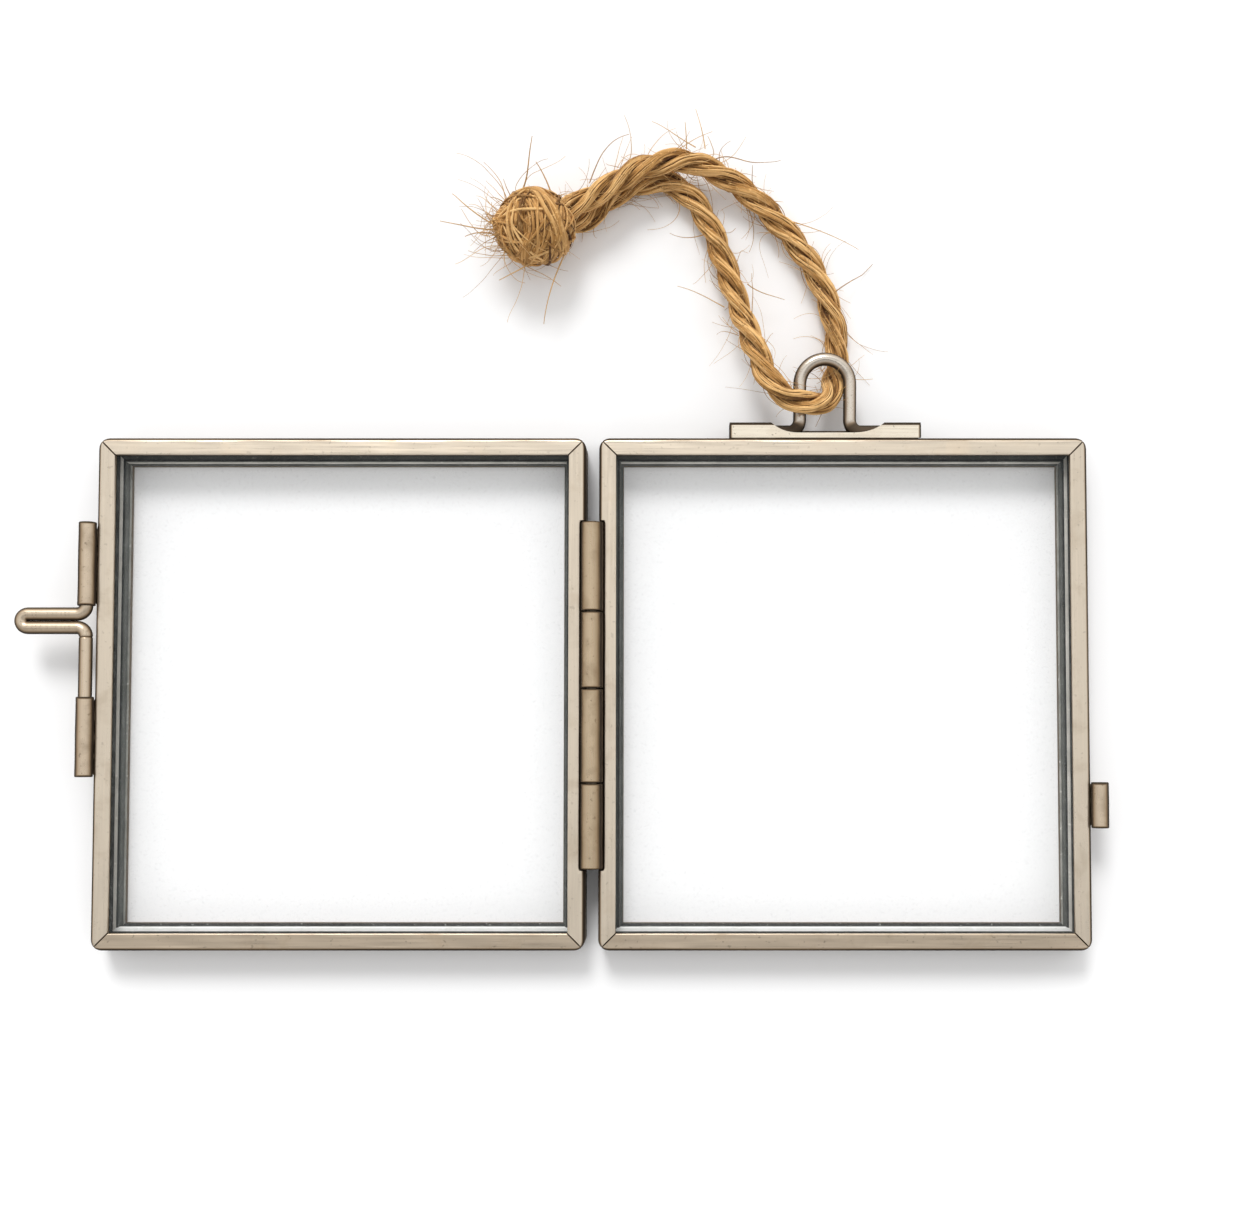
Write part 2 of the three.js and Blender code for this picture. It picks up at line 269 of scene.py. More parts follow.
def metal(name, base, dark, brush, rough=(0.22, 0.4), tarnish=0.5, pits=0.5, bump=0.22):
    """Pale worn plate: brushed along one axis, clouded with tarnish, pitted, and darkened, dulled and made less
    metallic where its per-vertex darkening attribute is high, which is painted shade on edges, sides and in hollows as
    well as tarnish.
    """
    m, nt, p = new_mat(name)
    stretch = {"X": (90, 3600, 3600), "Y": (3600, 90, 3600), "Z": (3600, 3600, 90)}[brush]
    lines = noise(nt, 1.0, 4.0, 0.6, stretch)
    cloud = noise(nt, 210.0, 6.0, 0.62, offset=3.0, distort=0.4)
    speck = noise(nt, 1500.0, 2.0, 0.5, offset=7.0)
    dots = noise(nt, 1100.0, 3.0, 0.55, offset=11.0)
    pale = tuple(min(1.0, c * 1.1) for c in base)
    col = mix(nt, base, pale, ramp(nt, [(0.35, 0), (0.65, 1)], lines))
    col = mix(nt, col, dark, ramp(nt, [(0.52, 0), (0.72, tarnish)], cloud))
    col = mix(nt, col, tuple(c * 0.35 for c in dark), ramp(nt, [(0.66, 0), (0.72, pits)], speck))
    col = mix(nt, col, tuple(c * 0.6 for c in dark), ramp(nt, [(0.68, 0), (0.73, pits)], dots))
    # painted shade: the per-vertex attribute below darkens the colour to brown and then near black; it is shade
    # painted on edges, sides and hollows as well as tarnish
    shade_and_tarnish = add(nt, "ShaderNodeAttribute", attribute_name="shade_and_tarnish", attribute_type="GEOMETRY")
    col = mix(nt, col, (0.25, 0.155, 0.075), ramp(nt, [(0.0, 0), (0.5, 0.8)], shade_and_tarnish.outputs["Fac"]))
    col = mix(nt, col, (0.035, 0.024, 0.015), ramp(nt, [(0.36, 0), (0.88, 1)], shade_and_tarnish.outputs["Fac"]))
    nt.links.new(col, p.inputs["Base Color"])
    r = mix(nt, (rough[0],) * 3, (rough[1],) * 3, ramp(nt, [(0.3, 0), (0.7, 1)], lines))
    r = mix(nt, r, (0.62,) * 3, ramp(nt, [(0.55, 0), (0.75, 0.8)], cloud))
    r = mix(nt, r, (0.7,) * 3, shade_and_tarnish.outputs["Fac"])
    nt.links.new(r, p.inputs["Roughness"])
    bare = add(nt, "ShaderNodeMath", operation="SUBTRACT")
    bare.inputs[0].default_value = 1.0
    nt.links.new(shade_and_tarnish.outputs["Fac"], bare.inputs[1])
    nt.links.new(bare.outputs[0], p.inputs["Metallic"])
    p.inputs["Specular IOR Level"].default_value = 0.12
    h = mix(nt, lines, speck, 0.35)
    b = add(nt, "ShaderNodeBump", in_Strength=bump, in_Distance=0.00004)
    nt.links.new(h, b.inputs["Height"])
    nt.links.new(b.outputs["Normal"], p.inputs["Normal"])
    return m


BASE = (0.635, 0.553, 0.445)
BROWN = (0.36, 0.265, 0.165)
M_X = metal("plate_brushed_x", BASE, BROWN, "X", (0.24, 0.4), 0.3, 0.22)
M_Y = metal("plate_brushed_y", BASE, BROWN, "Y", (0.24, 0.4), 0.3, 0.22)
# painted shade: a darker, browner and more tarnished copy of the plate, used only for the bottom rails
M_XB_SHADED = metal("plate_brushed_x_shaded_brown", (0.59, 0.488, 0.372), BROWN, "X", (0.26, 0.42), 0.45, 0.4)
M_TUBE = metal("plate_rolled_tube", (0.58, 0.475, 0.355), (0.17, 0.115, 0.07), "Y", (0.22, 0.40), 0.4, 0.45, 0.12)
M_KNUCKLE = metal("plate_hinge_knuckle", (0.49, 0.385, 0.262), (0.17, 0.11, 0.06), "Y", (0.2, 0.36), 0.4, 0.4, 0.12)
M_WIRE = metal("plate_drawn_wire", (0.60, 0.50, 0.38), (0.17, 0.12, 0.072), "Y", (0.2, 0.36), 0.3, 0.3, 0.05)
M_EYE = metal("plate_eye_wire", (0.62, 0.56, 0.485), (0.2, 0.15, 0.1), "X", (0.14, 0.26), 0.3, 0.2, 0.04)
M_SLEEVE = metal("plate_sleeve", (0.80, 0.72, 0.59), (0.3, 0.22, 0.14), "X", (0.2, 0.36), 0.4, 0.5)
# painted shade: a very dark plate for the channel's inside faces, the mitre end faces, the tube bores and the hinge
# pin, standing for the shade in these hollows together with tarnish
M_INSIDE_SHADE = metal("plate_inside_tarnish_and_shade", (0.16, 0.13, 0.095), (0.05, 0.04, 0.03), "X", (0.4, 0.6), 0.7, 0.6)
# dull solder, painted dark so that it also stands for the shade in the seams where tubes and sleeve meet the rails
M_SOLDER_SHADE = metal("solder_dull_and_seam_shade", (0.21, 0.165, 0.115), (0.06, 0.042, 0.026), "Z", (0.34, 0.55), 0.7, 0.6)


def m_glass():
    m, nt, p = new_mat("pane_glass")
    p.inputs["Base Color"].default_value = (0.83, 0.90, 0.91, 1)
    p.inputs["IOR"].default_value = 1.5
    p.inputs["Specular IOR Level"].default_value = 0.25
    smear = noise(nt, 70.0, 5.0, 0.6, (1, 2.6, 1), 2.0, 0.8)
    dust = noise(nt, 2600.0, 1.0, 0.5, offset=5.0)
    a = mix(nt, (0.016,) * 3, (0.03,) * 3, ramp(nt, [(0.4, 0), (0.7, 1)], smear))
    a = mix(nt, a, (0.07,) * 3, ramp(nt, [(0.62, 0), (0.74, 1)], dust))
    nt.links.new(a, p.inputs["Alpha"])
    r = mix(nt, (0.02,) * 3, (0.09,) * 3, ramp(nt, [(0.45, 0), (0.7, 1)], smear))
    nt.links.new(r, p.inputs["Roughness"])
    m.surface_render_method = "BLENDED"
    e, nt, p = new_mat("pane_glass_edge")
    p.inputs["IOR"].default_value = 1.5
    p.inputs["Roughness"].default_value = 0.25
    chips = noise(nt, 900.0, 3.0, offset=1.0)
    col = mix(nt, (0.33, 0.34, 0.31), (0.66, 0.68, 0.63), ramp(nt, [(0.4, 0), (0.68, 1)], chips))
    nt.links.new(col, p.inputs["Base Color"])
    al = mix(nt, (0.04,) * 3, (0.16,) * 3, chips)
    nt.links.new(al, p.inputs["Alpha"])
    e.surface_render_method = "BLENDED"
    return m, e


def m_strip(name, low, high, fleck):
    m, nt, p = new_mat(name)
    grain = noise(nt, 1400.0, 4.0)
    patch = noise(nt, 260.0, 4.0, offset=4.0)
    col = mix(nt, low, high, ramp(nt, [(0.35, 0), (0.7, 1)], patch))
    col = mix(nt, col, fleck, ramp(nt, [(0.62, 0), (0.74, 0.8)], grain))
    nt.links.new(col, p.inputs["Base Color"])
    nt.links.new(ramp(nt, [(0.3, 0.6), (0.7, 0.85)], grain), p.inputs["Roughness"])
    b = add(nt, "ShaderNodeBump", in_Strength=0.4, in_Distance=0.00006)
    nt.links.new(grain, b.inputs["Height"])
    nt.links.new(b.outputs["Normal"], p.inputs["Normal"])
    return m


def m_jute(name, low, mid, high, sheen=0.25):
    m, nt, p = new_mat(name)
    tone = add(nt, "ShaderNodeAttribute", attribute_name="tone", attribute_type="GEOMETRY")
    patch = noise(nt, 420.0, 4.0, 0.6)
    fleck = noise(nt, 2300.0, 2.0, 0.5, offset=6.0)
    col = ramp(nt, [(0.0, low), (0.5, mid), (1.0, high)], tone.outputs["Fac"])
    col = mix(nt, col, tuple(c * 0.62 for c in mid), ramp(nt, [(0.5, 0), (0.75, 0.55)], patch))
    col = mix(nt, col, tuple(min(1, c * 1.25) for c in high), ramp(nt, [(0.6, 0), (0.72, 0.5)], fleck))
    nt.links.new(col, p.inputs["Base Color"])
    nt.links.new(ramp(nt, [(0.3, 0.62), (0.7, 0.9)], fleck), p.inputs["Roughness"])
    p.inputs["Sheen Weight"].default_value = sheen
    p.inputs["Sheen Roughness"].default_value = 0.5
    p.inputs["Specular IOR Level"].default_value = 0.22
    b = add(nt, "ShaderNodeBump", in_Strength=0.35, in_Distance=0.00005)
    nt.links.new(fleck, b.inputs["Height"])
    nt.links.new(b.outputs["Normal"], p.inputs["Normal"])
    return m


M_GLASS, M_GLASS_EDGE = m_glass()
# dark strip: its own colour on the bed and the rib, and also the shaded copy used for the ledge on the upper and hinge
# sides (painted shade)
M_STRIP = m_strip("glazing_strip_dark_and_shade", (0.045, 0.046, 0.039), (0.085, 0.087, 0.075), (0.16, 0.16, 0.14))
# pale copy of the strip for the outer sides' ledge and the upper rib's wall (painted light)
M_LEDGE = m_strip("glazing_strip_ledge", (0.52, 0.50, 0.45), (0.74, 0.71, 0.65), (0.85, 0.82, 0.76))
# painted shade: near black, under the front lip and in the groove
M_GROOVE_SHADE = m_strip("glazing_strip_groove_shade", (0.006, 0.006, 0.005), (0.014, 0.013, 0.01), (0.03, 0.028, 0.022))
# mid grey with pale flecks, on the outer sides' flange top and the upper rib's edge (painted light)
M_SKIRT = m_strip("glazing_strip_skirt", (0.20, 0.195, 0.17), (0.42, 0.41, 0.37), (0.8, 0.78, 0.72))
# painted light: near white, the lit copy of the strip on the lower side's ledge and rib
M_PAINTED_LIGHT = m_strip("glazing_strip_painted_light", (0.80, 0.80, 0.77), (0.93, 0.93, 0.91), (0.97, 0.97, 0.96))
# painted shade: near black with pale flecks, on the lower side's rib wall and skirt
M_SHADE_FLECKED = m_strip("glazing_strip_shade_flecked", (0.012, 0.012, 0.01), (0.034, 0.033, 0.028), (0.6, 0.6, 0.56))
M_JUTE = m_jute("jute_twisted", (0.09, 0.034, 0.008), (0.51, 0.262, 0.078), (0.82, 0.52, 0.22), 0.06)
M_FUZZ = m_jute("jute_stray_fibres", (0.24, 0.12, 0.04), (0.44, 0.25, 0.09), (0.66, 0.42, 0.19), 0.03)


# ------------------------------------------------------------------- the leaves
def arc(cx, cy, r, a0, a1, n):
    return [(cx + r * math.cos(math.radians(a0 + (a1 - a0) * i / n)),
             cy + r * math.sin(math.radians(a0 + (a1 - a0) * i / n))) for i in range(n + 1)]


def channel():
    """Section of a rail, (inwards, up), with the material of each side."""
    pts, mats = [], []

    def put(seq, m):
        for q in seq:
            if not pts or math.dist(q, pts[-1]) > 1e-6:
                pts.append(q)
                mats.append(m)

    put(arc(EDGE_R, EDGE_R, EDGE_R, 180, 270, 8), 0)
    put([(x, 0.0) for x in np.linspace(EDGE_R, LIP_REAR - 0.12, 6)], 0)
    put([(LIP_REAR, 0.12), (LIP_REAR, SHEET - 0.06)], 0)
    put([(LIP_REAR - 0.06, SHEET), (LIP_REAR - 0.1, SHEET), (LIP_REAR - 0.14, SHEET), (2.4, SHEET)], 0)
    put([(SHEET, SHEET), (SHEET, LEAF_T - SHEET), (LIP_FRONT - 0.05, LEAF_T - SHEET)], 1)
    put([(LIP_FRONT, LEAF_T - SHEET + 0.05)], 0)
    put(arc(LIP_FRONT - 0.12, LEAF_T - 0.12, 0.12, 0, 90, 6), 0)
    put([(x, LEAF_T) for x in np.linspace(LIP_FRONT - 0.12, EDGE_R, 9)], 0)
    put(arc(EDGE_R, LEAF_T - EDGE_R, EDGE_R, 90, 180, 8), 0)
    put([(0.0, z) for z in np.linspace(LEAF_T - EDGE_R, EDGE_R, 12)][:-1], 0)
    return pts, mats


SECTION, SECTION_MAT = channel()


def set_shade_and_tarnish(me, values):
    g = me.attributes.new("shade_and_tarnish", "FLOAT", "POINT")
    g.data.foreach_set("value", np.clip(np.array(values, np.float32), 0, 1))


def shade_and_tarnish_at(u, z, phase):
    """Darkening of the rail section: painted shade along the rear flange's inner edge and under the front lip, painted
    shade with tarnish on the outer walls and along the outer edge of the front face, none on the faces.
    """
    if u > LIP_REAR - 0.12:
        return 0.75
    if u > LIP_FRONT - 0.1 and SHEET < z < LEAF_T - 0.4:
        return 0.85
    if u > EDGE_R:
        return 0.0
    if z > LEAF_T - EDGE_R:
        a = math.degrees(math.atan2(z - (LEAF_T - EDGE_R), EDGE_R - u))
        return min(max((80 - a) / 22, 0), 1) * (0.88 + 0.1 * math.sin(phase))
    return 0.72 + 0.16 * min(max((abs(z - LEAF_T / 2) - 1.6) / 0.6, 0), 1) + 0.02 * math.sin(phase)


def rail(name, body, length, turn, cx, cy, mat, seed, scallop=False):
    half = length / 2
    rng = random.Random(seed)
    inner = half - 4.0
    core = set(np.linspace(-inner, inner, 60).tolist())
    if scallop:
        for y in (23.6, -24.2):
            s = y if turn == 90 else -y
            into = -1 if s > 0 else 1
            core |= {s - 0.015, s + 0.015} | {s + into * d for d in (0.05, 0.1, 0.17, 0.25, 0.35)}
    core = sorted(core)
    tail = [0.12, 0.3, 0.5, 0.64, 0.74, 0.82, 0.88, 0.93, 0.97, 1.0]
    stations = [(-1, t) for t in reversed(tail)] + [(0, s) for s in core] + [(1, t) for t in tail]
    ph = [rng.uniform(0, TAU) for _ in range(6)]
    ct, st = math.cos(math.radians(turn)), math.sin(math.radians(turn))
    verts, faces, fmat = [], [], []
    for side, val in stations:
        for u, z in SECTION:
            if side == 0:
                s, uu = val, u
            else:
                open_face = u > 0.3 and (z > LEAF_T - 0.25 or z < 0.05)
                gap = MITRE_GAP if open_face else 0.015
                end = half - u - gap
                s = inner + val * (end - inner)
                over = s - (half - CORNER_R)
                um = CORNER_R - math.sqrt(max(CORNER_R ** 2 - max(over, 0) ** 2, 0)) if over < CORNER_R else CORNER_R
                um = min(um, 0.293 * CORNER_R + 0.04)
                uu = u if u >= 1.2 else um + u * (1.2 - um) / 1.2
                s = min(s, half - uu - gap) * side
            zz = z
            if z > LEAF_T - 0.3 and 0.5 < u:
                zz += 0.014 * math.sin(s * 0.21 + ph[0]) + 0.01 * math.sin(s * 0.67 + u * 1.3 + ph[1])
                zz -= 0.010
            if z > LEAF_T - EDGE_R - 0.01:
                zz -= 0.05 * (LIP_FRONT - u)
            if u < 0.01 and 0.7 < z < 4.9:
                uu += 0.012 + 0.012 * math.sin(s * 0.27 + z * 0.7 + ph[2])
            x, y = s * ct - uu * st + cx, s * st + uu * ct + cy
            if scallop and -24.2 <= y <= 23.6:
                d = max(0.35 - min(23.6 - y, y + 24.2), 0)
                cut = 1.8 - (0.35 - math.sqrt(0.35 ** 2 - d ** 2)) * 0.9
                r = math.hypot(x, zz - AXIS_Z)
                if r < cut:
                    x *= cut / r
                    zz = AXIS_Z + (zz - AXIS_Z) * cut / r
            verts.append((x, y, zz))
    n = len(SECTION)
    for i in range(len(stations) - 1):
        for j in range(n):
            k = (j + 1) % n
            faces.append((i * n + j, i * n + k, (i + 1) * n + k, (i + 1) * n + j))
            fmat.append(SECTION_MAT[k] if SECTION_MAT[j] != SECTION_MAT[k] else SECTION_MAT[j])
    last = (len(stations) - 1) * n
    faces += [tuple(range(n)), tuple(range(last, last + n))]
    fmat += [1, 1]
    me = poly_mesh("frame_" + name, verts, faces, fmat, 40)
    # painted shade: the last station at each mitre end is darkened, the shade in the mitre joint
    seam = [0.85 if abs(side) == 1 and val == 1.0 else 0.0 for side, val in stations]
    set_shade_and_tarnish(me, [max(seam[i], shade_and_tarnish_at(u, z, ph[3] + 0.11 * i)) for i in range(len(stations)) for u, z in SECTION])
    return add_piece(me, body, [mat, M_INSIDE_SHADE], name)


def pane(name, body, cx):
    a, b, z0, z1, c = LEAF_W / 2 - 1.75, LEAF_H / 2 - 1.75, 2.5, 4.5, 0.22
    rng = random.Random(len(name) + int(abs(cx)))
    rings = [(c, z0), (0, z0 + c), (0, z1 - c), (c, z1)]
    verts, faces, fmat = [], [], []
    per = None
    for inset, z in rings:
        loop = []
        for sx, sy in ((1, 1), (-1, 1), (-1, -1), (1, -1)):
            x, y = sx * (a - inset), sy * (b - inset)
            corner = [(x, y - sy * 0.35), (x - sx * 0.12, y - sy * 0.12), (x - sx * 0.35, y)]
            loop += corner if sx * sy > 0 else corner[::-1]
        per = len(loop)
        verts += [(cx + x, y, z + rng.uniform(-0.004, 0.004)) for x, y in loop]
    for i in range(3):
        for j in range(per):
            k = (j + 1) % per
            faces.append((i * per + j, i * per + k, (i + 1) * per + k, (i + 1) * per + j))
            fmat.append(1)
    faces += [tuple(range(per)), tuple(range(3 * per, 4 * per))]
    fmat += [0, 0]
    me = poly_mesh("pane_" + name, verts, faces, fmat, 20)
    return add_piece(me, body, [M_GLASS, M_GLASS_EDGE], name)


def strip(name, body, cx, hinge):
    """Glazing strip: a dark bed, a ledge, a groove, the rib, and a thin skirt on the flange, coloured by side with
    painted light and shade: near black under the lip and in the groove, near white on the lower side's ledge and rib,
    near black with pale flecks on the lower side's rib wall and skirt, pale on the outer sides' ledge and skirt and on
    the upper rib's edge and wall, dark on the upper ledge and all over the hinge sides.
    """
    prof = [(1.2, 0.95), (1.2, 2.3), (1.26, 2.35), (2.03, 2.35), (2.48, 2.35), (2.5, 1.9), (2.68, 1.9), (2.7, 2.2),
            (2.76, 2.26), (2.82, 2.26), (2.9, 2.16), (2.9, 0.9), (2.93, 0.86), (3.17, 0.86), (3.19, 0.81), (2.9, 0.81)]
    low = [(1.2, 0.95), (1.2, 2.3), (1.26, 2.35), (2.28, 2.35), (2.74, 2.35), (2.75, 2.33), (2.76, 2.32), (2.77, 2.31),
           (2.78, 2.3), (2.82, 2.29), (2.9, 2.2), (2.9, 0.9), (2.93, 0.86), (3.17, 0.86), (3.19, 0.81), (2.9, 0.81)]
    # material for each face of the profile, one list for each side of the frame: lit copies on the lower side, shaded
    # copies on the upper and hinge sides (painted light and shade)
    side = [1, 2, 2, 0, 2, 2, 2, 1, 1, 1, 1, 1, 3, 3, 1, 1]
    near = [1, 2, 2, 1, 2, 2, 2, 1, 1, 1, 1, 1, 1, 1, 1, 1]
    upper = [1, 2, 2, 1, 2, 2, 2, 1, 1, 3, 0, 1, 1, 1, 1, 1]
    lower = [1, 2, 2, 4, 4, 4, 4, 4, 4, 4, 5, 5, 5, 5, 5, 1]
    kind = [upper, near if hinge < 0 else side, lower, near if hinge > 0 else side]
    verts, faces, fmat = [], [], []
    n = len(prof)
    for sx, sy in ((1, 1), (-1, 1), (-1, -1), (1, -1)):
        for (u, z), (v, w) in zip(prof, prof if sy > 0 else low):
            verts.append((cx + sx * (LEAF_W / 2 - u), sy * (LEAF_H / 2 - v), w))
    for c in range(4):
        d = (c + 1) % 4
        for j in range(n):
            k = (j + 1) % n
            faces.append((c * n + j, c * n + k, d * n + k, d * n + j))
            fmat.append(kind[c][j])
    me = poly_mesh("bedding_" + name, verts, faces, fmat, 30)
    return add_piece(me, body, [M_LEDGE, M_STRIP, M_GROOVE_SHADE, M_SKIRT, M_PAINTED_LIGHT, M_SHADE_FLECKED], name)


MID_X = HALF_GAP + LEAF_W / 2
for body, side in (("back", 1), ("door", -1)):
    cx = side * MID_X
    rail(body + "_rail_left", body, LEAF_H, -90, cx - LEAF_W / 2, 0, M_Y, 11 + side, side > 0)
    rail(body + "_rail_right", body, LEAF_H, 90, cx + LEAF_W / 2, 0, M_Y, 21 + side, side < 0)
    rail(body + "_rail_top", body, LEAF_W, 180, cx, LEAF_H / 2, M_X, 31 + side)
    rail(body + "_rail_bottom", body, LEAF_W, 0, cx, -LEAF_H / 2, M_XB_SHADED, 41 + side)
    pane(body + "_glass", body, cx)
    strip(body + "_glazing_strip", body, cx, -side)


# ------------------------------------------------------------- tubes and wires
def painted_side_shade(up):
    """Painted shade, with tarnish, on a round piece: none on its front, dark on its sides."""
    up = abs(up)
    return 0.97 * min(max((0.99 - up) / 0.50, 0), 1) ** 1.1 * min(0.76 + 0.24 * up / 0.35, 1)


def rolled_tube(name, body, node, outer, inner, y0, y1, x, z, seam, mat, seed, lit_side_turn=0.0, ring=0.4):
    """A tube rolled from sheet, with its seam and slightly uneven mouths, painted shade on its sides with the unshaded
    front turned about the axis by the given angle, and painted shade at both mouths.
    """
    rng = random.Random(seed)
    sides = 72
    c = 0.16
    prof = [(inner, y0 + 0.05), (inner + 0.05, y0), (outer - c, y0)]
    prof += [(outer - c + c * math.sin(a), y0 + c - c * math.cos(a)) for a in (0.5, 1.0, math.pi / 2)]
    prof += [(outer, y0 + c + 0.06), (outer, y0 + c + 0.14), (outer, y0 + c + 0.24)]
    prof += [(outer, y) for y in np.linspace(y0 + c + 0.24, y1 - c - 0.24, 16)[1:-1]]
    prof += [(outer, y1 - c - 0.24), (outer, y1 - c - 0.14), (outer, y1 - c - 0.06)]
    prof += [(outer - c + c * math.sin(a), y1 - c + c * math.cos(a)) for a in (math.pi / 2, 1.0, 0.5)]
    prof += [(outer - c, y1), (inner + 0.05, y1), (inner, y1 - 0.05)]
    ph = [rng.uniform(0, TAU) for _ in range(4)]
    verts, faces, fmat = [], [], []
    n = len(prof)
    for i, (r, y) in enumerate(prof):
        for j in range(sides):
            a = j * TAU / sides
            rr = r
            if 2 < i < n - 3:
                d = abs((a - seam + math.pi) % TAU - math.pi)
                rr -= 0.13 * math.exp(-(d / 0.07) ** 2)
                rr -= 0.012 * (1 + math.sin(y * 0.9 + 2 * a + ph[0]))
            yy = y
            if y in (y0, y1):
                yy += (0.05 if y == y0 else -0.05) * (0.5 + 0.5 * math.sin(2 * a + ph[1]))
            verts.append((x + rr * math.sin(a), yy, z + rr * math.cos(a)))
    for i in range(n):
        k = (i + 1) % n
        for j in range(sides):
            m = (j + 1) % sides
            faces.append((i * sides + j, i * sides + m, k * sides + m, k * sides + j))
            fmat.append(1 if i == n - 1 else 0)
    me = poly_mesh(name, verts, faces, fmat, 50)
    shade_and_tarnish = []
    for r, y in prof:
        # painted shade at both mouths, fading out over the given ring width
        mouth_shade = 0.85 * min(max((ring - min(y - y0, y1 - y)) / (0.5 * ring), 0), 1)
        for j in range(sides):
            a = j * TAU / sides
            shade_and_tarnish.append(max(mouth_shade, painted_side_shade(math.cos(a - lit_side_turn)) * (0.97 + 0.03 * math.sin(3 * a + y))))
    set_shade_and_tarnish(me, shade_and_tarnish)
    return add_piece(me, body, [mat, M_INSIDE_SHADE], node)


for i in range(4):
    top = KNUCKLE_Y[i] - (0.08 if i > 0 else 0)
    low = KNUCKLE_Y[i + 1] + (0.08 if i < 3 else 0)
    rolled_tube(f"hinge_barrel_{i + 1}", "back" if i % 2 == 0 else "door", f"hinge_knuckle_{i + 1}",
                1.5, 0.8, low, top, 0, AXIS_Z, 2.6 if i % 2 == 0 else -2.6, M_KNUCKLE, 50 + i, -0.12, 0.26)
rolled_tube("latch_tube_upper", "door", "latch_guide_upper", 1.2, 1.0, 11.8, 23.3, -BOLT_X, AXIS_Z, 2.0, M_TUBE, 61, 0.3)
rolled_tube("latch_tube_lower", "door", "latch_guide_lower", 1.2, 1.0, -11.5, -0.6, -BOLT_X, AXIS_Z, 2.2, M_TUBE, 62, 0.3)
rolled_tube("latch_keeper_tube", "back", "latch_keeper", 1.2, 1.04, -18.4, -12.2, BOLT_X, AXIS_Z, -2.0, M_TUBE, 63, -0.25)


def wire_piece(name, body, node, path, radius, mat, crease=None, feet=None, lit_side_turn=0.0, step=0.16):
    path = resample(np.asarray(path, float), step)
    s = arclen(path)
    total = s[-1]
    sides = 28
    r = np.full(len(path), radius - 0.004)
    for d in (s, total - s):
        r *= np.clip(0.72 + 0.28 * np.sqrt(np.clip(d / 0.3, 0, 1)), 0, 1)
    if crease is not None:
        where = np.argmin(np.linalg.norm(path - np.array(crease), axis=1))
        r -= 0.09 * np.exp(-((s - s[where]) / 0.09) ** 2)
    tan, nor, bi = frames(path)
    a = np.arange(sides) * TAU / sides
    ring = path[:, None] + r[:, None, None] * (np.cos(a)[None, :, None] * nor[:, None] + np.sin(a)[None, :, None] * bi[:, None])
    verts = ring.reshape(-1, 3)
    n = len(path)
    faces = []
    for i in range(n - 1):
        for j in range(sides):
            k = (j + 1) % sides
            faces.append((i * sides + j, i * sides + k, (i + 1) * sides + k, (i + 1) * sides + j))
    faces += [tuple(range(sides)), tuple(range((n - 1) * sides, n * sides))]
    me = poly_mesh(name, verts, faces, None, 40)
    # painted shade on the wire's sides; the unshaded front is turned by the given angle
    front = np.array([math.sin(lit_side_turn), 0.0, math.cos(lit_side_turn)])
    up = np.cos(a)[None, :] * (nor @ front)[:, None] + np.sin(a)[None, :] * (bi @ front)[:, None]
    # painted shade on the feet inside the sleeve and a dark line in the crease
    foot_shade = np.zeros(n) if feet is None else np.clip((feet - path[:, 1]) / 0.9, 0, 0.8)
    crease_shade = np.zeros(n) if crease is None else 0.85 * np.exp(-((s - s[where]) / 0.1) ** 2)
    set_shade_and_tarnish(me, [max(painted_side_shade(up[i, j]), foot_shade[i], crease_shade[i]) for i in range(n) for j in range(sides)])
    return add_piece(me, body, [mat], node)


def bolt_path():
    bend, pitch, tab_y = 1.2, 1.835, 9.77
    t = pitch / 2
    end = -BOLT_X - 9.75 + 0.92 + t
    p = [(-BOLT_X, 23.05)]
    p += arc(-BOLT_X - bend, tab_y + t + bend, bend, 0, -90, 14)
    p += arc(end, tab_y, t, 90, 270, 20)
    p += arc(-BOLT_X - bend, tab_y - t - bend, bend, 90, 0, 14)
    p += [(-BOLT_X, -11.35)]
    return [(x, y, AXIS_Z) for x, y in p]


def eye_path():
    ex, er, up, fr = 32.0, 3.45, 6.6, 1.7
    p = [(20.6, 0)] + arc(ex - er - fr, fr, fr, -90, 0, 12) + arc(ex, up, er, 180, 0, 36)
    p += arc(ex + er + fr, fr, fr, 180, 270, 12) + [(43.4, 0)]
    t = math.radians(6)
    return [(x, 35.98 + u * math.cos(t), 3.9 + u * math.sin(t)) for x, u in p]


wire_piece("latch_wire_bolt", "bolt", "latch_bolt", bolt_path(), 0.92, M_WIRE, (-BOLT_X, 7.57, AXIS_Z), None, 0.3)
wire_piece("hanger_wire_eye", "hanger", "hanger_eye", eye_path(), 0.9, M_EYE, None, 37.6)
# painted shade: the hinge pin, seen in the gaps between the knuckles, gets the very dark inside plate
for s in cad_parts["hinge_pin"].material_slots:
    s.material = M_INSIDE_SHADE


# ------------------------------------------------------------ sleeve and solder
def prism(name, outline, place, stations):
    """A closed outline carried along stations, capped at both ends."""
    n = len(outline)
    verts = [place(a, b, t) for t in stations for a, b in outline]
    faces = [(i * n + j, i * n + (j + 1) % n, (i + 1) * n + (j + 1) % n, (i + 1) * n + j)
             for i in range(len(stations) - 1) for j in range(n)]
    last = (len(stations) - 1) * n
    faces += [tuple(range(n)), tuple(range(last, last + n))]
    me = poly_mesh(name, verts, faces)
    ob = bpy.data.objects.new(name, me)
    bpy.context.scene.collection.objects.link(ob)
    return ob


def quad_curve(p0, p1, p2, n):
    return [tuple((1 - t) ** 2 * np.array(p0) + 2 * t * (1 - t) * np.array(p1) + t * t * np.array(p2))
            for t in np.linspace(0, 1, n)]


